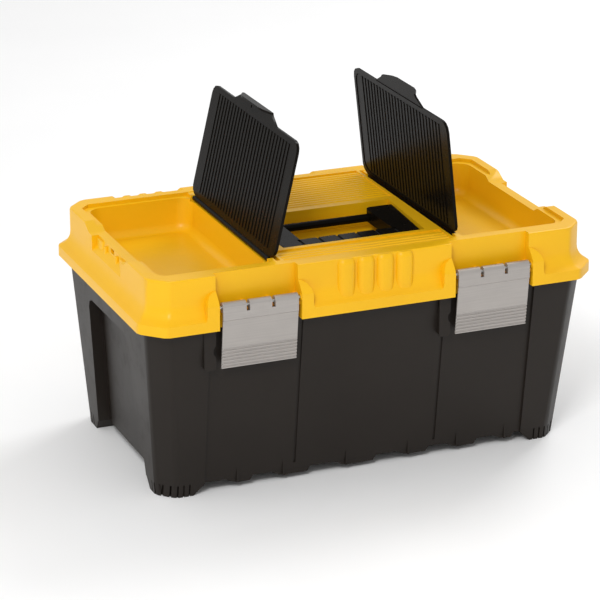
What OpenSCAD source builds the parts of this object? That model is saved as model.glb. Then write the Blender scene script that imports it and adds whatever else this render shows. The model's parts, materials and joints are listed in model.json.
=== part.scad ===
// Tool box: black tub, yellow lid with two organiser bins, and a lift-out tray inside.
// X runs along the box (right positive), Y from front to back, Z up.
// The origin is on the floor at the middle of the box.
// Stored as: lid shut, handle folded, both organiser covers swung open.

/* [Overall size] */
// Length over the lid's flange
flange_l = 554; // [544:1:564]
// Depth over the lid's flange, front to back
flange_w = 336; // [332:1:342]
// Height of the joint between tub and lid
parting_z = 208; // [204:1:212]
// Height of the lid's rim
rim_z = 268; // [266:1:272]

/* [Tub] */
// Wall thickness of the tub
tub_wall = 3; // [2.5:0.1:3.5]
// Height of the tub's underside above the floor
floor_gap = 13; // [10:1:16]
// Depth of the hand recess in each end wall
end_recess = 15; // [10:1:18]
// How far the corner pillars stand proud of the walls
pillar_proud = 3; // [1.5:0.5:4]

/* [Lid] */
// Wall thickness of the lid
lid_wall = 3; // [2.5:0.1:3.5]
// Height of the organiser bins' floor
bin_floor_z = 225; // [222:1:232]
// Height of the handle recess's floor
well_floor_z = 240; // [236:1:244]

/* [Organiser covers] */
// Lean of the open left cover past upright, in degrees
lean_left = 13; // [6:0.5:13]
// Lean of the open right cover past upright, in degrees
lean_right = 6.5; // [6:0.5:13]
// Length of a cover from its hinge to its free edge
cover_reach = 138; // [134:0.5:138]
// Half the width of a cover
cover_half = 131; // [127:0.5:134]
// Thickness of a cover's plate
cover_t = 2.6; // [2:0.1:3]

/* [Latches] */
// Width of a latch
latch_w = 89; // [85:1:92]
// Distance of each latch from the middle of the box
latch_x = 142; // [140:0.5:144]
// Thickness of the latch plate
latch_t = 2; // [1.6:0.1:2.4]

/* [Handle] */
// Clear width of the hand opening
grip_l = 114; // [106:1:118]
// Reach from the handle's axle to the front of its grip
handle_reach = 92; // [86:1:92]

/* [Tray] */
// Depth of the lift-out tray
tray_h = 46; // [36:1:50]

/* [Hidden] */
$fn = 48;
fit = 0.05;            // radial running clearance of a pin in its bore
gap = 0.4;             // clearance between bodies that do not fit on each other

flange_hx = flange_l / 2;
flange_hy = flange_w / 2;
flange_c = 25;         // corner chamfer of the flange
flange_h = 12;
corner_ease = 3.5;     // easing of the edges of the corner chamfers
wall_in = 12.5;        // how far the lid's wall stands in from the flange
wall_c = 20.5;
lid_hx = flange_hx - wall_in;
lid_hy = flange_hy - wall_in;

tub_top = parting_z - gap;
tub_hx0 = 250;         // half length on the floor
tub_hx1 = 267;         // half length at the top
tub_front0 = 132;
tub_front1 = 159;
tub_rear0 = 140;
tub_rear1 = 152;
tub_c0 = 18.7;
tub_c1 = 22;
pillar_x = 198;        // inner edge of the corner pillars, front and back

hinge_y = 163.5;         // lid hinge axis, behind the rear wall
hinge_z = parting_z - 2;
hinge_x = 160;
hinge_r = 4.5;
hinge_half = 42;
knuckle_half = 20;     // half the width of the lid's middle knuckle
hinge_pin_r = 2;

latch_y = -162.5;      // latch hinge axis, in front of the lid's wall
latch_z = 233;
latch_pin_r = 2;
latch_roll_r = 5.5;
latch_lean = 7;        // how far the plate leans in at its lower edge, following the tub's wall
latch_bottom = 160.5;
latch_step = 218;      // where the plate steps in below its rolled top
latch_face_y = latch_y - latch_roll_r;
notch_x = 15;          // the two notches in a latch's roll
notch_w = 4;
pocket_half = latch_w / 2 + 4;
pocket_y = -(lid_hy - 9);
shelf_y = -157.2;      // front of the lid's ledge behind a latch
keeper_z = 188;
keeper_y = -159;

bin_x0 = 116;          // bin mouth, near and far edge and half width
bin_x1 = 245.5;
bin_hy = 129;
bin_r = 18;
ledge_x = 252;         // rebate around a bin for the cover's edge
ledge_hy = 134.5;
ledge_z = rim_z - 4;
cover_x = 113.5;       // cover hinge axis
cover_z = rim_z - 3.2;
cover_pin_r = 1.6;
cover_barrel_r = 2.9;
cover_corner = 18;     // cut at the hinge end of a cover's sides
groove_x = 105.5;      // near edge of the groove for a cover's hinge
rib_pitch = 8.6;       // between the ribs on a cover
cover_top = rim_z - 1;
tab_z = 9;             // depth of the saddle for a cover's tab
tab_half0 = 65;
tab_half1 = 46;
tab_reach = 149.5;

axle_y = -2;
axle_z = 256;
axle_r = 4.7;
well_y0 = -97;
well_y1 = 19;
well_x0 = 87;          // half length of the handle recess at the front
well_x1 = 93;          // and at the back
arm_x0 = 83.6;
arm_x1 = 91;
handle_top = 266;
handle_t = 15;
ridge_pitch = 7.5;
ridge_x = 102;

shelf_z = 181;         // inside top of the end recesses, where the tray rests
tray_rim_z = shelf_z + 4;
tray_hx = 232;
tray_hy = 134;
tray_ear_x = 254;
tray_cross_x = 72;     // walls either side of the tray's middle cell
tray_wall = 2.4;
tray_pivot_z = tray_rim_z - 8;
tray_arm = 34;
tray_pin_r = 3;

// ---------- outlines and lofts ----------

function arc_points(cx, cy, r, a0, n) =
    [for (i = [0 : n - 1]) let (a = a0 + 90 * i / (n - 1)) [cx + r * cos(a), cy + r * sin(a)]];

// Rectangle with n points on each corner, counterclockwise; n = 2 gives a chamfer
function ring(hx, hy, r, n = 2) = concat(
    arc_points(hx - r, -hy + r, r, -90, n),
    arc_points(hx - r, hy - r, r, 0, n),
    arc_points(-hx + r, hy - r, r, 90, n),
    arc_points(-hx + r, -hy + r, r, 180, n));

// Corner chamfer of size r with its two edges eased over e
function eased_corner(cx, cy, r, a0, e) =
    let (p0 = [cx + r * cos(a0), cy + r * sin(a0)], p1 = [cx - r * sin(a0), cy + r * cos(a0)],
         t0 = [-sin(a0), cos(a0)], t1 = [-cos(a0), -sin(a0)], u = (t0 + t1) / sqrt(2))
    [p0 - e * t0, p0 + e * u, p1 - e * u, p1 + e * t1];

// Rectangle with eased corner chamfers, counterclockwise
function eased_ring(hx, hy, r, e) = concat(
    eased_corner(hx - r, -hy + r, r, -90, e),
    eased_corner(hx - r, hy - r, r, 0, e),
    eased_corner(-hx + r, hy - r, r, 90, e),
    eased_corner(-hx + r, -hy + r, r, 180, e));

// Solid through outlines of m points each, listed from the bottom up
module skin(points, m) {
    last = len(points) / m - 1;
    sides = [for (k = [0 : last - 1]) for (i = [0 : m - 1])
        let (j = (i + 1) % m)
        [k * m + i, (k + 1) * m + i, (k + 1) * m + j, k * m + j]];
    polyhedron(
        points = points,
        faces = concat([[for (i = [0 : m - 1]) i]], sides, [[for (i = [m - 1 : -1 : 0]) last * m + i]]),
        convexity = 4);
}

// Solid through rings [half x, half y, corner, z, centre y], from the bottom up
module loft(rings, n = 2)
    skin([for (s = rings) for (p = ring(s[0], s[1], s[2], n)) [p[0], p[1] + s[4], s[3]]], 4 * n);

// The same with eased corner chamfers
module eased_loft(rings, e)
    skin([for (s = rings) for (p = eased_ring(s[0], s[1], s[2], e)) [p[0], p[1] + s[4], s[3]]], 16);

module box(x0, x1, y0, y1, z0, z1)
    translate([x0, y0, z0]) cube([x1 - x0, y1 - y0, z1 - z0]);

// Round bar along X
module bar_x(x0, x1, y, z, r)
    translate([x0, y, z]) rotate([0, 90, 0]) cylinder(h = x1 - x0, r = r);

// Round bar along Y
module bar_y(y0, y1, x, z, r)
    translate([x, y0, z]) rotate([-90, 0, 0]) cylinder(h = y1 - y0, r = r);

// Both ends of the box
module both_ends() {
    children();
    mirror([1, 0, 0]) children();
}

// ---------- tub ----------

function at(z, a, b) = a + (b - a) * z / tub_top;

// Section of the tub at height z, moved in by d
function tub_ring(z, d) =
    let (front = at(z, tub_front0, tub_front1), rear = at(z, tub_rear0, tub_rear1))
    [at(z, tub_hx0, tub_hx1) - d, (front + rear) / 2 - d, at(z, tub_c0, tub_c1), z, (rear - front) / 2];

module tub_block(d, z0, z1)
    eased_loft([tub_ring(z0, d), tub_ring(z1, d)], corner_ease);

// Prism over the hand recess of the right-hand end wall, arched at its top
module end_recess_prism(grow) {
    top = shelf_z - tub_wall + grow;
    low = 87 + grow;
    high = 69 + grow;
    translate([150, 0, 0]) rotate([90, 0, 90]) linear_extrude(height = 150)
        polygon([[-low, -5], [low, -5], [high + 1, top - 12], [high - 3, top - 4], [high - 12, top],
                 [-high + 12, top], [-high + 3, top - 4], [-high - 1, top - 12]]);
}

// The wall's own slope, moved in to the back of the hand recess
module end_recess_cut(depth, grow)
    difference() {
        end_recess_prism(grow);
        tub_block(depth, -20, tub_top + 20);
    }

// Panel that stands proud in the middle of the hand recess
module end_recess_panel()
    difference() {
        intersection() {
            end_recess_prism(-13);
            tub_block(end_recess - 2, floor_gap, tub_top);
        }
        tub_block(end_recess + 1, floor_gap - 5, tub_top + 5);
    }

module corner_pillars()
    intersection() {
        tub_block(0, 0, tub_top);
        both_ends() box(pillar_x, 300, -200, 200, -1, parting_z);
    }

// Skid rib under the front and rear edges: [start, end, lowest point]
skids = [[-166, -138, 7], [-110, -68, 6.5], [-32, 14, 6.5], [46, 81, 7], [108, 143, 6.5], [170, 191, 7]];

module skid_ribs()
    for (s = skids) {
        for (y = [[-130, -112], [112, 137.4]])
            translate([0, y[1], 0]) rotate([90, 0, 0]) linear_extrude(height = y[1] - y[0])
                polygon([[s[0] - 6, floor_gap + 2], [s[0] - 6, floor_gap], [s[0] + 3, s[2] + 1.4],
                         [s[0] + 9, s[2]], [s[1] - 4, s[2]], [s[1], floor_gap], [s[1], floor_gap + 2]]);
        // upright rib on the front wall above it
        box(s[0] + 7, s[0] + 9.5, -132.6, -126, s[2] + 1, 36);
    }

// Cuts that leave four feet below the tub's underside
module foot_cuts() {
    box(-pillar_x, pillar_x, -200, 200, -1, floor_gap);
    box(-300, 300, -87, 87, -1, floor_gap);
    both_ends() {
        translate([0, 200, 0]) rotate([90, 0, 0]) linear_extrude(height = 400)
            polygon([[pillar_x - 1, -1], [pillar_x + 14, -1], [pillar_x + 13, 0], [pillar_x, floor_gap],
                     [pillar_x - 1, floor_gap]]);
        mirror([0, 1, 0]) foot_side_cut();
        foot_side_cut();
    }
}

// Bevel on the side of a foot that faces the other foot of the same end
module foot_side_cut()
    translate([-300, 0, 0]) rotate([90, 0, 90]) linear_extrude(height = 600)
        polygon([[86, -1], [96, -1], [95.5, 0], [87, floor_gap], [86, floor_gap]]);

module tub_cavity() {
    inside = tub_wall + pillar_proud;
    difference() {
        eased_loft([tub_ring(floor_gap + tub_wall, inside), tub_ring(tub_top - 12, inside),
                    tub_ring(tub_top - 7, inside + 2), tub_ring(tub_top + 10, inside + 2)], corner_ease);
        both_ends() end_recess_cut(end_recess + tub_wall, tub_wall);
    }
}

// Tongue that stands up inside the lid's flange
module tongue()
    tub_block(tub_wall + pillar_proud - 0.6, tub_top - 4, tub_top + 4.5);

// Bar that a latch hooks under, on two short arms, with a raised pad beside it
module keeper(x)
    translate([x, 0, 0]) {
        box(-40, 40, keeper_y, -150, keeper_z - 9, keeper_z - 4);
        box(-40, 40, keeper_y, keeper_y + 2.4, keeper_z - 9, keeper_z + 2);
        for (arm = [-38, 38])
            box(arm - 2, arm + 2, keeper_y, -146, keeper_z - 24, keeper_z + 2);
        translate([0, -159.4, 0]) rotate([-90, 0, 0]) linear_extrude(height = 14)
            polygon([[-64, -tub_top + 3], [-50, -tub_top + 3], [-50, -188], [-53, -184], [-53, -178],
                     [-50, -174], [-50, -162], [-53, -159], [-61, -159], [-64, -162]]);
    }

module base_knuckles()
    for (side = [-1, 1])
        translate([side * hinge_x, 0, 0])
            for (x = [[-hinge_half, -knuckle_half - gap], [knuckle_half + gap, hinge_half]]) {
                bar_x(x[0], x[1], hinge_y, hinge_z, hinge_r);
                box(x[0], x[1], 148, hinge_y, hinge_z - hinge_r, hinge_z);
            }

// Upright slots around the toe of each foot
module foot_slots()
    difference() {
        both_ends() {
            for (i = [0 : 4], side = [-1, 1])
                box(215 + i * 7, 216.8 + i * 7, side * 150 - 50, side * 150 + 50, -1, 15);
            for (i = [0 : 2], side = [-1, 1])
                translate([0, side * (105 + i * 7), 0]) box(238, 300, -0.9, 0.9, -1, 15);
        }
        tub_block(2.4, -5, 20);
    }

// Thin upright seams in the front wall
module front_seams()
    intersection() {
        for (x = [-88.5, 86]) box(x - 1.5, x + 1.5, -200, -100, floor_gap + 8, 203);
        difference() {
            tub_block(0, 10, tub_top);
            tub_block(pillar_proud + 1.6, 5, tub_top + 5);
        }
    }

module base_shell() color([0.19, 0.17, 0.16])
    difference() {
        union() {
            difference() {
                union() {
                    tub_block(pillar_proud, floor_gap, tub_top);
                    corner_pillars();
                    skid_ribs();
                    tongue();
                }
                front_seams();
                both_ends() end_recess_cut(end_recess, 0);
                tub_cavity();
                foot_cuts_open();
                foot_slots();
            }
            both_ends() end_recess_panel();
            for (side = [-1, 1]) keeper(side * latch_x);
            base_knuckles();
        }
        for (side = [-1, 1])
            bar_x(side * hinge_x - 60, side * hinge_x + 60, hinge_y, hinge_z, hinge_pin_r + fit / 2);
    }

// Clears the space under the tub between its feet, apart from the skid ribs
module foot_cuts_open()
    difference() {
        foot_cuts();
        skid_ribs();
    }

module lid_hinge_pin(side) color([0.7, 0.7, 0.72])
    bar_x(side * hinge_x - hinge_half - 1, side * hinge_x + hinge_half + 1, hinge_y, hinge_z, hinge_pin_r);

module lid_hinge_pin_left() lid_hinge_pin(-1);
module lid_hinge_pin_right() lid_hinge_pin(1);

// ---------- lid ----------

// Outer skin: upright flange, hollow sweep up to the wall, upright wall. d moves it in.
module lid_block(d)
    eased_loft([
        [flange_hx - d, flange_hy - d, flange_c, parting_z - (d > 0 ? 1 : 0), 0],
        [flange_hx - d, flange_hy - d, flange_c, parting_z + flange_h - d, 0],
        [flange_hx - 2 - d, flange_hy - 2 - d, flange_c - 0.5, parting_z + flange_h + 1.6 - d, 0],
        [flange_hx - 5 - d, flange_hy - 5 - d, flange_c - 1, parting_z + 15.4 - d, 0],
        [flange_hx - 8 - d, flange_hy - 8 - d, flange_c - 2, parting_z + 18.5 - d / 2, 0],
        [flange_hx - 10.4 - d, flange_hy - 10.4 - d, wall_c + 1.4, parting_z + 22.6 - d / 3, 0],
        [flange_hx - 11.8 - d, flange_hy - 11.8 - d, wall_c + 0.6, parting_z + 27, 0],
        [lid_hx - d, lid_hy - d, wall_c, parting_z + 32, 0],
        [lid_hx - d, lid_hy - d, wall_c, rim_z - 2.2 - d, 0],
        [lid_hx - 0.7 - d, lid_hy - 0.7 - d, wall_c, rim_z - 0.7 - d, 0],
        [lid_hx - 2.2 - d, lid_hy - 2.2 - d, wall_c, rim_z - d, 0]], corner_ease);

// One bin, its outside when grown by the wall
module bin_block(grow, top) {
    cx = (bin_x0 + bin_x1) / 2;
    hx = (bin_x1 - bin_x0) / 2;
    translate([cx, 0, 0])
        loft([
            [hx - 14 + grow, bin_hy - 14 + grow, bin_r - 6, bin_floor_z - grow, 0],
            [hx - 9 + grow, bin_hy - 9 + grow, bin_r - 4, bin_floor_z + 1.5 - grow * 0.9, 0],
            [hx - 5.5 + grow, bin_hy - 5.5 + grow, bin_r - 2, bin_floor_z + 4.5 - grow * 0.7, 0],
            [hx - 3 + grow, bin_hy - 3 + grow, bin_r - 1, bin_floor_z + 10 - grow * 0.4, 0],
            [hx + grow, bin_hy + grow, bin_r, top, 0]], 5);
}

// Rebate that a shut cover lies in, and the groove for its hinge barrel
module cover_rebate() {
    translate([0, 0, ledge_z]) linear_extrude(height = 10)
        polygon([[150, -ledge_hy], [ledge_x - 11, -ledge_hy], [ledge_x, -ledge_hy + 11],
                 [ledge_x, ledge_hy - 11], [ledge_x - 11, ledge_hy], [150, ledge_hy]]);
    difference() {
        union() {
            box(groove_x, 160, -ledge_hy, ledge_hy, ledge_z, rim_z + 1);
            box(groove_x, 119, -122, 122, cover_z - 3.6, rim_z + 1);
        }
        // lugs that hold the cover's pins
        for (side = [-1, 1])
            translate([0, side * (ledge_hy + 122) / 2, 0])
                box(cover_x - 3.5, cover_x + 3.5, -(ledge_hy - 122) / 2 - 0.01, (ledge_hy - 122) / 2 + 0.01,
                    ledge_z - 10, rim_z - 0.6);
    }
}

// Saddle in the end rim for the cover's tab, and the finger pocket below it
module end_saddle() {
    translate([240, 0, 0]) rotate([90, 0, 90]) linear_extrude(height = 40)
        polygon([[-79, rim_z + 1], [-60, rim_z - tab_z], [60, rim_z - tab_z], [79, rim_z + 1]]);
    translate([0, 50, 0]) rotate([90, 0, 0]) linear_extrude(height = 100)
        polygon([[lid_hx - 8, rim_z], [lid_hx - 8, rim_z - 18], [lid_hx + 1, rim_z - 28],
                 [lid_hx + 1, rim_z]]);
}

// Shallow dips along the rear rim, with three small humps in each outer one
module rear_rim_dips() {
    both_ends()
        translate([0, 144, 0]) rotate([90, 0, 0]) mirror([0, 0, 1]) linear_extrude(height = 20)
            polygon([[117, rim_z + 1], [122, rim_z - 3.5], [140, rim_z - 3.5], [143, rim_z - 2],
                     [149, rim_z - 2], [152, rim_z - 3.5], [160, rim_z - 3.5], [163, rim_z - 2],
                     [169, rim_z - 2], [172, rim_z - 3.5], [180, rim_z - 3.5], [183, rim_z - 2],
                     [189, rim_z - 2], [192, rim_z - 3.5], [200, rim_z - 3.5], [206, rim_z + 1]]);
    translate([0, 144, 0]) rotate([90, 0, 0]) mirror([0, 0, 1]) linear_extrude(height = 20)
        polygon([[-54, rim_z + 1], [-49, rim_z - 2.8], [49, rim_z - 2.8], [54, rim_z + 1]]);
}

module pocket_ribs()
    for (side = [-1, 1])
        scale([1, side, 1]) translate([0, 0, parting_z + 31]) {
            translate([lid_hx - 7, 19, 0]) cylinder(h = 16, r = 2.4);
            linear_extrude(height = 17.5)
                polygon([[lid_hx - 9, 28], [lid_hx - 6.2, 30], [lid_hx - 5, 34], [lid_hx - 5, 44],
                         [lid_hx - 6, 48], [lid_hx - 9, 50.5]]);
        }

module handle_well(grow)
    translate([0, 0, well_floor_z - grow]) linear_extrude(height = 60)
        polygon([[-well_x0 - grow, well_y0 - grow], [well_x0 + grow, well_y0 - grow],
                 [well_x1 + grow, well_y1 + grow], [-well_x1 - grow, well_y1 + grow]]);

// Ridged panel between the bins, at the back and the front of the handle recess
module top_ridges() {
    panel = 2.2;
    for (y = [[well_y1 + 8, 136], [-140, well_y0 - 6]])
        difference() {
            box(-ridge_x, ridge_x, y[0], y[1], rim_z - panel, rim_z + 1);
            for (k = [0 : floor((y[1] - y[0]) / ridge_pitch) - 1])
                translate([-ridge_x - 1, y[0] + (k + 0.5) * ridge_pitch, rim_z - panel])
                    rotate([90, 0, 90]) linear_extrude(height = 2 * ridge_x + 2)
                        polygon([[-2.6, -0.1], [2.6, -0.1], [1.2, 1.5], [-1.2, 1.5]]);
        }
}

// Finger ribs on the front of the lid, bevelled at their sides and top
grip_section = [[-11, 0], [-10, -3.5], [-7.5, -6.5], [-4, -8], [4, -8], [7.5, -6.5], [10, -3.5], [11, 0]];

module grip_ribs() {
    levels = [[parting_z + 14, 1], [rim_z - 7, 1], [rim_z - 3, 0.86], [rim_z - 0.6, 0.55]];
    for (k = [-1.5 : 1 : 1.5])
        translate([k * 23.6, -lid_hy + 1, 0])
            skin([for (l = levels) for (p = grip_section)
                [p[0] * (0.4 + 0.6 * l[1]), p[1] * l[1] + 1, l[0]]], 8);
}

// Space in the lid's front for a latch
module latch_pocket() {
    box(-pocket_half, pocket_half, -200, pocket_y, latch_z - 7.5, rim_z + 1);
    box(-pocket_half, pocket_half, -200, shelf_y, parting_z - 1, rim_z + 1);
}

// Lugs that hold the latch pin: two behind the notches and one at each end
module latch_lugs() {
    for (x = [-notch_x, notch_x])
        translate([x, 0, 0]) {
            bar_x(-notch_w / 2 + gap, notch_w / 2 - gap, latch_y, latch_z, 3.8);
            box(-notch_w / 2 + gap, notch_w / 2 - gap, latch_y, pocket_y + 1, latch_z - 9, latch_z + 0.5);
        }
    for (side = [-1, 1])
        translate([side * (latch_w / 2 + 2.6), 0, 0]) {
            bar_x(-2, 2, latch_y, latch_z, 4.2);
            box(-2, 2, latch_y, pocket_y + 1, latch_z - 9, latch_z + 0.5);
        }
}

// Raised guard on each side of a latch: flush with the flange, rounded at its outer side and top
guard_profile = [[-lid_hy + 2, parting_z + 16], [-flange_hy + 2, parting_z + 4], [-flange_hy, 214],
                 [-flange_hy, 236], [-flange_hy + 1, 239], [-flange_hy + 6, 245], [-lid_hy - 1.5, 250],
                 [-lid_hy + 2, 252]];

module latch_guards()
    for (side = [-1, 1])
        intersection() {
            translate([side * (pocket_half + 8) - 9, 0, 0]) rotate([90, 0, 90])
                linear_extrude(height = 18) polygon(guard_profile);
            translate([side * (pocket_half - 1), -140, 0]) rotate([90, 0, 0]) linear_extrude(height = 40)
                scale([side, 1]) polygon([[0, 205], [21, 205], [16, 222], [15, 226], [15, 236], [13.5, 242],
                                          [10, 247], [5, 250], [0, 251]]);
        }

module lid_knuckles()
    for (side = [-1, 1])
        translate([side * hinge_x, 0, 0]) {
            bar_x(-knuckle_half, knuckle_half, hinge_y, hinge_z, hinge_r);
            box(-knuckle_half, knuckle_half, hinge_y - 4, flange_hy, hinge_z, parting_z + 4);
        }

// Room in the flange for the tub's knuckles and their arms
module base_knuckle_room()
    for (side = [-1, 1])
        translate([side * hinge_x, 0, 0])
            for (x = [[-hinge_half - 1, -knuckle_half], [knuckle_half, hinge_half + 1]])
                box(x[0], x[1], 150, flange_hy + 1, parting_z - 10, hinge_z + hinge_r + 1);

module lid_shell() color([0.98, 0.75, 0.13])
    difference() {
        union() {
            difference() {
                lid_block(0);
                lid_block(lid_wall);
            }
            intersection() {
                lid_block(0);
                union() {
                    both_ends() {
                        bin_block(lid_wall, rim_z);
                        // wall between bin and end, behind the saddle and its pocket
                        box(ledge_x - 8, lid_hx - 1, -82, 82, parting_z + 22, rim_z);
                        box(99, 130, -ledge_hy - 3, ledge_hy + 3, cover_z - 11, rim_z);
                        box(120, ledge_x + 3, -ledge_hy - 3, ledge_hy + 3, ledge_z - 3, rim_z);
                        // pocket wall and ledge behind each latch
                        translate([latch_x, 0, 0]) {
                            box(-pocket_half - 3, pocket_half + 3, -lid_hy, pocket_y + 3,
                                parting_z + 7, rim_z);
                            box(-pocket_half - 3, pocket_half + 3, -flange_hy, shelf_y + 2.6,
                                parting_z, latch_z - 7.5);
                        }
                    }
                    handle_well(lid_wall);
                    // thicker rim under the rear dips
                    box(-212, 212, ledge_hy, lid_hy, rim_z - 7, rim_z);
                }
            }
            both_ends() translate([latch_x, 0, 0]) latch_guards();
            grip_ribs();
        }
        both_ends() {
            bin_block(0, rim_z + 0.1);
            cover_rebate();
            difference() {
                end_saddle();
                pocket_ribs();
            }
            // catch slot behind the cover's bead
            box(lid_hx - 15, lid_hx, -6, 6, rim_z - 16, rim_z - 10.2);
            // sockets for the cover's pins
            bar_y(-130, 130, cover_x, cover_z, cover_pin_r + fit);
            translate([latch_x, 0, 0]) difference() {
                latch_pocket();
                latch_lugs();
            }
            translate([latch_x, 0, 0])
                bar_x(-pocket_half - 9, pocket_half + 9, latch_y, latch_z, latch_pin_r + fit / 2);
        }
        handle_well(0);
        rear_rim_dips();
        top_ridges();
        bar_x(-well_x1 - 5, well_x1 + 5, axle_y, axle_z, axle_r + fit / 2);
        base_knuckle_room();
        for (side = [-1, 1])
            bar_x(side * hinge_x - 60, side * hinge_x + 60, hinge_y, hinge_z, hinge_pin_r + fit);
    }

// ---------- handle ----------

module handle_profile(x0, x1)
    polygon([[x0, -handle_reach + axle_y], [x0, axle_y + 2], [x0 + 1.6, axle_y + 5.8], [x0 + 5.5, axle_y + 8],
             [x1 - 1, axle_y + 8], [x1, axle_y + 7], [arm_x0, -handle_reach + axle_y + 1.5],
             [arm_x0 - 1.5, -handle_reach + axle_y]]);

// Shallow finger marks on the grip's upper face
module grip_marks()
    for (k = [-2.5 : 1 : 2.5])
        translate([k * 23.6, axle_y - handle_reach, handle_top - 1.2])
            rotate([-90, 0, 0]) linear_extrude(height = 22)
                polygon([[-1.6, -2], [1.6, -2], [1.6, 0], [0, 0.6], [-1.6, 0]]);

module handle() color([0.1, 0.1, 0.1])
    difference() {
        union() {
            both_ends() translate([0, 0, handle_top - handle_t]) linear_extrude(height = handle_t)
                handle_profile(grip_l / 2, arm_x1);
            box(-grip_l / 2 - 1, grip_l / 2 + 1, axle_y - handle_reach, axle_y - handle_reach + 22,
                handle_top - handle_t, handle_top);
        }
        bar_x(-100, 100, axle_y, axle_z, axle_r + fit);
        grip_marks();
    }

module handle_axle() color([0.12, 0.12, 0.12])
    bar_x(-well_x1 - 2.5, well_x1 + 2.5, axle_y, axle_z, axle_r);

// ---------- latches ----------

// Front face of a latch's plate at height z, below its step
function latch_front(z) = latch_face_y + latch_lean * (latch_step - z) / (latch_step - latch_bottom);

// Section of a latch, seen from its right-hand end: rolled top and stepped plate
module latch_section()
    difference() {
        union() {
            translate([latch_y, latch_z]) circle(r = latch_roll_r);
            polygon([[latch_face_y, latch_z], [latch_face_y, latch_step + 1],
                     [latch_face_y + 0.9, latch_step],
                     [latch_front(latch_bottom + 25) + 0.6, latch_bottom + 25],
                     [latch_front(latch_bottom + 24), latch_bottom + 24],
                     [latch_front(latch_bottom), latch_bottom],
                     [latch_front(latch_bottom) + latch_t, latch_bottom],
                     [latch_face_y + latch_t + 0.6, latch_step], [latch_face_y + latch_t, latch_z]]);
        }
        translate([latch_y, latch_z]) circle(r = latch_pin_r + fit);
    }

// Hook on the plate's back that reaches under the keeper
module latch_hook()
    rotate([90, 0, 90]) linear_extrude(height = 60, center = true)
        polygon([[latch_front(174) + 1, 173], [keeper_y + 5, 173], [keeper_y + 5, 175.2],
                 [latch_front(178) + 1, 176.5]]);

// Grooves across the finger pull
module latch_grooves()
    for (k = [0 : 5])
        translate([0, latch_front(latch_bottom + 2.4 + k * 4), latch_bottom + 2.4 + k * 4])
            rotate([90, 0, 90]) linear_extrude(height = latch_w + 2, center = true)
                polygon([[-2, -1.3], [0, -1.3], [1.15, -0.5], [1.15, 0.5], [0, 1.3], [-2, 1.3]]);

module latch(side) color([0.72, 0.7, 0.68])
    translate([side * latch_x, 0, 0])
        difference() {
            union() {
                translate([-latch_w / 2, 0, 0]) rotate([90, 0, 90]) linear_extrude(height = latch_w)
                    latch_section();
                latch_hook();
            }
            for (x = [-notch_x, notch_x])
                box(x - notch_w / 2, x + notch_w / 2, latch_y - 9, latch_y + 9, latch_z - 5.5, latch_z + 9);
            latch_grooves();
        }

module latch_left() latch(-1);
module latch_right() latch(1);

module latch_pin(side) color([0.75, 0.75, 0.76])
    bar_x(side * latch_x - latch_w / 2 - 3.6, side * latch_x + latch_w / 2 + 3.6,
          latch_y, latch_z, latch_pin_r);

module latch_pin_left() latch_pin(-1);
module latch_pin_right() latch_pin(1);

// ---------- organiser covers ----------

// Outline of a shut right-hand cover, moved in by d
function cover_outline(d) =
    let (x0 = cover_x + 2.4 + d, x1 = cover_x + cover_reach - d, half = cover_half - d)
    [[x0, -half + cover_corner], [x0 + 2.5, -half + 8], [x0 + 6, -half + 2.5], [x0 + 11, -half],
     [x1 - 12, -half], [x1 - 6, -half + 1.6], [x1 - 1.6, -half + 6], [x1, -half + 12],
     [x1, half - 12], [x1 - 1.6, half - 6], [x1 - 6, half - 1.6], [x1 - 12, half],
     [x0 + 11, half], [x0 + 6, half - 2.5], [x0 + 2.5, half - 8], [x0, half - cover_corner]];

// A shut right-hand cover: plate ribbed on both faces, with a hinge barrel and a snap tab
module shut_cover() {
    x0 = cover_x + 2.4;
    x1 = cover_x + cover_reach;
    x2 = cover_x + tab_reach;
    z0 = cover_top - cover_t;
    barrel = cover_half - cover_corner + 6;
    difference() {
        translate([0, 0, z0]) linear_extrude(height = cover_t + 0.8) polygon(cover_outline(0));
        translate([0, 0, cover_top]) linear_extrude(height = 2) polygon(cover_outline(5));
    }
    // tab with a lip at its end, and a bead on the lip in front of the lid's slot
    translate([0, 0, z0]) linear_extrude(height = cover_t)
        polygon([[x1 - 1, -tab_half0], [x1, -tab_half0], [x2 - 3, -tab_half1 - 2], [x2, -tab_half1 + 1],
                 [x2, tab_half1 - 1], [x2 - 3, tab_half1 + 2], [x1, tab_half0], [x1 - 1, tab_half0]]);
    translate([x2 - 2.4, 0, 0]) rotate([90, 0, 90]) linear_extrude(height = 2.4)
        polygon([[-tab_half1 + 1, cover_top - 1], [-tab_half1 + 2, cover_top - 3], [-34, rim_z - 9.4],
                 [-24, rim_z - 11.6], [24, rim_z - 11.6], [34, rim_z - 9.4],
                 [tab_half1 - 2, cover_top - 3], [tab_half1 - 1, cover_top - 1]]);
    box(lid_hx - 7.6, x2 - 1, -4, 4, rim_z - 11.6, rim_z - 10.2);
    // barrel and its two pins
    bar_y(-barrel, barrel, cover_x, cover_z, cover_barrel_r);
    bar_y(-129.5, 129.5, cover_x, cover_z, cover_pin_r);
    box(cover_x, x0 + 4, -cover_half + cover_corner, cover_half - cover_corner,
        z0, cover_top - 0.5);
    // ribs from the hinge to the free edge
    for (k = [-12.5 : 1 : 12.5])
        box(x0 + 8, x1 - 7, k * rib_pitch - 1.5, k * rib_pitch + 1.5, z0 - 0.8, cover_top + 0.8);
}

// A right-hand cover turned open about its hinge, leaning back past upright
module open_cover(lean)
    translate([cover_x, 0, cover_z]) rotate([0, -90 - lean, 0]) translate([-cover_x, 0, -cover_z])
        shut_cover();

module cover_left() color([0.07, 0.065, 0.06]) mirror([1, 0, 0]) open_cover(lean_left);
module cover_right() color([0.07, 0.065, 0.06]) open_cover(lean_right);

// ---------- lift-out tray ----------

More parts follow.
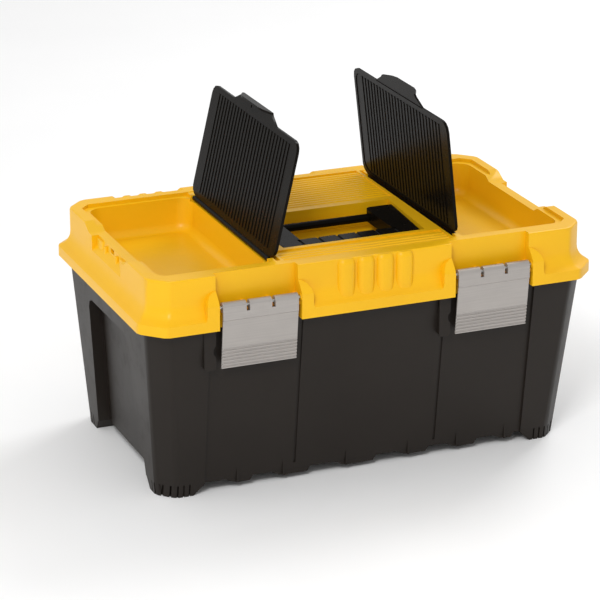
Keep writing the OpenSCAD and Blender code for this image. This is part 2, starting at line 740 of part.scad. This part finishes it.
tray_floor = tray_rim_z - tray_h;
divider_x = [-182, -127, 127, 182];
spine_t = 2.4;

module tray_inside()
    loft([[tray_hx - 10 - tray_wall, tray_hy - 10 - tray_wall, 12, tray_floor + tray_wall, 0],
          [tray_hx - 4 - tray_wall, tray_hy - 4 - tray_wall, 16, tray_rim_z + 1, 0]], 4);

// Pair of small ribs that a loose divider slides between
module divider_guides(x)
    for (side = [-1, 1], y = [[spine_t / 2, 3.4], [tray_hy - 12, tray_hy - 5]])
        box(x + side * 2.2 - 0.9, x + side * 2.2 + 0.9, y[0], y[1], tray_floor + 1, tray_rim_z - 6);

module tray_body() color([0.9, 0.7, 0.15])
    difference() {
        union() {
            difference() {
                union() {
                    loft([[tray_hx - 10, tray_hy - 10, 14, tray_floor, 0],
                          [tray_hx - 4, tray_hy - 4, 18, tray_rim_z, 0]], 4);
                    loft([[tray_hx, tray_hy, 20, tray_rim_z - 3, 0],
                          [tray_hx, tray_hy, 20, tray_rim_z, 0]], 4);
                    // ears that rest on the ledges inside the tub's ends
                    box(-tray_ear_x, tray_ear_x, -52, 52, tray_rim_z - 3.9, tray_rim_z);
                }
                tray_inside();
            }
            intersection() {
                tray_inside();
                union() {
                    both_ends() {
                        box(tray_cross_x, tray_cross_x + tray_wall, -tray_hy, tray_hy,
                            tray_floor, tray_rim_z - 1);
                        box(tray_cross_x, tray_hx, -spine_t / 2, spine_t / 2, tray_floor, tray_rim_z - 4);
                    }
                    for (x = divider_x) divider_guides(x);
                }
            }
        }
        bar_x(-tray_cross_x - 10, tray_cross_x + 10, 0, tray_pivot_z, tray_pin_r + fit);
    }

// Bail folded flat over the middle cell: grip, two arms and a stub pin on each
module tray_handle() color([0.12, 0.12, 0.12]) {
    both_ends() {
        box(tray_cross_x - 7, tray_cross_x - 1, -tray_arm, 0, tray_pivot_z - 4, tray_pivot_z + 4);
        bar_x(tray_cross_x - 7, tray_cross_x - 1, 0, tray_pivot_z, 5.5);
        bar_x(tray_cross_x - 2, tray_cross_x + 4.5, 0, tray_pivot_z, tray_pin_r);
    }
    box(-tray_cross_x + 2, tray_cross_x - 2, -tray_arm - 6, -tray_arm + 4,
        tray_pivot_z - 4, tray_pivot_z + 4);
}

// Loose partition standing between the spine and the tray's rear wall
module tray_divider(x) color([0.15, 0.15, 0.15])
    box(x - 0.9, x + 0.9, spine_t / 2 + gap, tray_hy - 14, tray_floor + tray_wall + gap, tray_rim_z - 5);

module tray_divider_1() tray_divider(divider_x[0]);
module tray_divider_2() tray_divider(divider_x[1]);
module tray_divider_3() tray_divider(divider_x[2]);
module tray_divider_4() tray_divider(divider_x[3]);

base_shell();
lid_shell();
lid_hinge_pin_left();
lid_hinge_pin_right();
handle();
handle_axle();
latch_left();
latch_right();
latch_pin_left();
latch_pin_right();
cover_left();
cover_right();
tray_body();
tray_handle();
tray_divider_1();
tray_divider_2();
tray_divider_3();
tray_divider_4();
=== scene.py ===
import json
import math

import bpy
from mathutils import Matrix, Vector

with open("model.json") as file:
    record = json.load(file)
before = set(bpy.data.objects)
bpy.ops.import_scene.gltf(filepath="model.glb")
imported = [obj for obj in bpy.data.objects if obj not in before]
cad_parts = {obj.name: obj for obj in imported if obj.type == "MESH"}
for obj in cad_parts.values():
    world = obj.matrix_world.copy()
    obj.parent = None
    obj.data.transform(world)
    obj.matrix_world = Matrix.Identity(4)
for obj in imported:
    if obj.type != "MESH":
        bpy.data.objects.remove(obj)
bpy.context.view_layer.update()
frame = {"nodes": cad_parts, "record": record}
MM = 0.001

# Modifier settings shared by every CAD node
MERGE_DISTANCE = 1e-5
FLAT_ANGLE = math.radians(0.6)
BEVEL_ANGLE = math.radians(32)
SPLIT_ANGLE = math.radians(50)
BEVEL_SEGMENTS = 2

# Noise scales of the moulded plastic, coarse to fine
CLOUD_SCALE = 7
SWELL_SCALE = 30
RUB_SCALE = 55
SPECK_SCALE = 420


# ---------- materials ----------

class Graph:
    """A short way to write a node material."""

    def __init__(self, name):
        self.material = bpy.data.materials.new(name)
        self.material.use_nodes = True
        self.tree = self.material.node_tree
        self.surface = self.tree.nodes["Principled BSDF"]
        self.place = self.add("ShaderNodeTexCoord").outputs["Object"]

    def add(self, kind, **inputs):
        node = self.tree.nodes.new(kind)
        for key, value in inputs.items():
            self.put(node, key.replace("_", " "), value)
        return node

    def put(self, node, socket, value):
        target = node.inputs[socket]
        if isinstance(value, bpy.types.NodeSocket):
            self.tree.links.new(value, target)
        else:
            target.default_value = value

    def noise(self, scale, detail=3.0, roughness=0.5):
        return self.add("ShaderNodeTexNoise", Vector=self.place, Scale=scale, Detail=detail,
                        Roughness=roughness).outputs["Fac"]

    def stretched(self, scale):
        """The object's own coordinates, scaled differently along each axis."""
        node = self.add("ShaderNodeMapping", Vector=self.place, Scale=scale)
        return node.outputs["Vector"]

    def span(self, value, low, high, low_in=0.3, high_in=0.7):
        """value from low_in..high_in mapped to low..high."""
        node = self.add("ShaderNodeMapRange", Value=value)
        node.inputs["From Min"].default_value = low_in
        node.inputs["From Max"].default_value = high_in
        node.inputs["To Min"].default_value = low
        node.inputs["To Max"].default_value = high
        return node.outputs["Result"]

    def mix(self, factor, a, b):
        node = self.tree.nodes.new("ShaderNodeMix")
        node.data_type = "RGBA"
        for index, value in ((0, factor), (6, a), (7, b)):
            if isinstance(value, bpy.types.NodeSocket):
                self.tree.links.new(value, node.inputs[index])
            else:
                node.inputs[index].default_value = value
        return node.outputs[2]

    def bump(self, height, strength, distance, under=None):
        node = self.add("ShaderNodeBump", Height=height, Strength=strength, Distance=distance)
        if under is not None:
            self.put(node, "Normal", under)
        return node.outputs["Normal"]

    def finish(self, **inputs):
        for key, value in inputs.items():
            self.put(self.surface, key.replace("_", " "), value)
        return self.material


def colour(r, g, b):
    return (r, g, b, 1.0)


def moulded_plastic(name, main, worn, rough, grain, grain_depth, sheen):
    """Moulded plastic: slow shifts of tone, a fine grain and faint handling marks."""
    g = Graph(name)
    cloud = g.span(g.noise(CLOUD_SCALE, 4), 0.0, 1.0)
    speck = g.span(g.noise(SPECK_SCALE, 2), 0.0, 1.0)
    tone = g.mix(cloud, main, worn)
    tone = g.mix(g.span(speck, 0.0, 0.12, 0.2, 1.0), tone, worn)
    rubbed = g.span(g.noise(RUB_SCALE, 6, 0.65), 0.0, 0.08, 0.5, 0.8)
    roughness = g.add("ShaderNodeMath", Value=g.span(cloud, rough, rough + 0.05, 0, 1))
    roughness.operation = "ADD"
    g.put(roughness, 1, rubbed)
    fine = g.bump(g.noise(grain, 2), 0.3, grain_depth)
    broad = g.bump(g.noise(SWELL_SCALE, 2), 0.1, 0.001, fine)
    g.put(g.surface, "Specular IOR Level", sheen)
    return g.finish(Base_Color=tone, Roughness=roughness.outputs[0], Normal=broad, IOR=1.49)


def satin_sheet(name, main, dark):
    """Satin aluminium sheet, drawn along its length."""
    g = Graph(name)
    drawn = g.add("ShaderNodeTexNoise", Vector=g.stretched((18, 900, 900)), Scale=1.0, Detail=3.0)
    streak = g.span(drawn.outputs["Fac"], 0.0, 1.0, 0.2, 0.8)
    tone = g.mix(streak, main, dark)
    roughness = g.span(g.noise(60, 3), 0.42, 0.52)
    normal = g.bump(streak, 0.08, 0.00008)
    return g.finish(Base_Color=tone, Metallic=0.55, Roughness=roughness, Normal=normal)


def drawn_wire(name):
    """Bright steel wire with fine marks along it."""
    g = Graph(name)
    drawn = g.add("ShaderNodeTexNoise", Vector=g.stretched((40, 900, 900)), Scale=1.0, Detail=3.0)
    tone = g.mix(g.span(drawn.outputs["Fac"], 0, 1), colour(0.6, 0.6, 0.6), colour(0.42, 0.42, 0.42))
    return g.finish(Base_Color=tone, Metallic=1.0, Roughness=g.span(g.noise(200), 0.22, 0.38))


YELLOW = moulded_plastic("yellow_plastic", colour(0.9, 0.5, 0.005), colour(0.84, 0.455, 0.005),
                         0.34, 900, 0.0001, 0.3)
CHARCOAL = moulded_plastic("charcoal_plastic", colour(0.0145, 0.0108, 0.0083),
                           colour(0.0185, 0.0142, 0.0112), 0.4, 1100, 0.00012, 0.22)
PIANO = moulded_plastic("gloss_black_plastic", colour(0.0045, 0.0036, 0.0026),
                        colour(0.007, 0.0056, 0.0042), 0.22, 1500, 0.00004, 0.05)
SHEET = satin_sheet("satin_aluminium", colour(0.44, 0.41, 0.385), colour(0.38, 0.355, 0.335))
WIRE = drawn_wire("drawn_steel_wire")

FINISH = {
    "tub_black": CHARCOAL,
    "lid_yellow": YELLOW,
    "cover_black": PIANO,
    "gloss_black": PIANO,
    "latch_metal": SHEET,
    "pin_steel": WIRE,
    "tray_yellow": YELLOW,
    "tray_black": CHARCOAL,
}
SLOT = {s["node"]: s["material_slot"] for s in frame["record"]["subparts"]}


# ---------- CAD nodes ----------

def soften(obj, width):
    """Rounds the edges of a CAD node with modifiers, leaving its mesh as it is."""
    weld = obj.modifiers.new("weld", "WELD")
    weld.merge_threshold = MERGE_DISTANCE
    flat = obj.modifiers.new("flat", "DECIMATE")
    flat.decimate_type = "DISSOLVE"
    flat.angle_limit = FLAT_ANGLE
    bevel = obj.modifiers.new("bevel", "BEVEL")
    bevel.width = width
    bevel.segments = BEVEL_SEGMENTS
    bevel.limit_method = "ANGLE"
    bevel.angle_limit = BEVEL_ANGLE
    bevel.use_clamp_overlap = True
    split = obj.modifiers.new("split", "EDGE_SPLIT")
    split.split_angle = SPLIT_ANGLE
    split.use_edge_sharp = False
    normals = obj.modifiers.new("normals", "WEIGHTED_NORMAL")
    normals.keep_sharp = True
    for polygon in obj.data.polygons:
        polygon.use_smooth = True


def dress_node(name, width):
    obj = frame["nodes"][name]
    material = FINISH[SLOT[name]]
    obj.data.materials.clear()
    obj.data.materials.append(material)
    soften(obj, width)


# Edge rounding in millimetres, and what the rest get
FINE_EDGE = 0.4
EDGE = {"base_shell": 0.9, "lid_shell": 1.2, "tray_body": 0.5, "handle": 1.4}
for node_name in frame["nodes"]:
    dress_node(node_name, EDGE.get(node_name, FINE_EDGE) * MM)


# ---------- floor, light and camera ----------

FLOOR_SIDE = 30
MIDDLE = Vector((0, 0, 0.15))


def floor_material():
    g = Graph("pale_floor")
    tone = g.mix(g.span(g.noise(3, 2), 0, 1), colour(0.97, 0.97, 0.97), colour(0.95, 0.95, 0.95))
    return g.finish(Base_Color=tone, Roughness=g.span(g.noise(30), 0.65, 0.75))


def add_floor():
    bpy.ops.mesh.primitive_plane_add(size=FLOOR_SIDE)
    floor = bpy.context.object
    floor.name = "floor"
    floor.data.materials.append(floor_material())


def add_area(name, place, side, power):
    """A square area light that faces the middle of the box."""
    light = bpy.data.lights.new(name, "AREA")
    light.shape = "RECTANGLE"
    light.size = side
    light.size_y = side
    light.energy = power
    obj = bpy.data.objects.new(name, light)
    bpy.context.scene.collection.objects.link(obj)
    obj.location = place
    obj.rotation_euler = (MIDDLE - Vector(place)).to_track_quat("-Z", "Y").to_euler()


def add_lights():
    add_area("key", (-1.5, -2.05, 2.35), 0.9, 44)
    add_area("rear_fill", (1.9, 1.3, 2.4), 1.2, 34)
    add_area("left_strip", (-2.8, 0.6, 0.9), 1.2, 6)
    world = bpy.data.worlds.new("studio")
    world.use_nodes = True
    background = world.node_tree.nodes["Background"]
    background.inputs["Color"].default_value = colour(1, 1, 1)
    background.inputs["Strength"].default_value = 0.66
    bpy.context.scene.world = world
    bpy.context.scene.view_settings.view_transform = "Standard"


def add_camera():
    azimuth, elevation, distance = math.radians(-22.3), math.radians(20.2), 3.2383
    target = Vector((-0.0273, 0.0, 0.1644))
    out = Vector((math.sin(azimuth) * math.cos(elevation), -math.cos(azimuth) * math.cos(elevation),
                  math.sin(elevation)))
    data = bpy.data.cameras.new("camera")
    data.lens = 165.9
    data.sensor_width = 36
    data.clip_end = 100
    camera = bpy.data.objects.new("camera", data)
    bpy.context.scene.collection.objects.link(camera)
    camera.location = target + out * distance
    camera.rotation_euler = (-out).to_track_quat("-Z", "Y").to_euler()
    bpy.context.scene.camera = camera


add_floor()
add_lights()
add_camera()
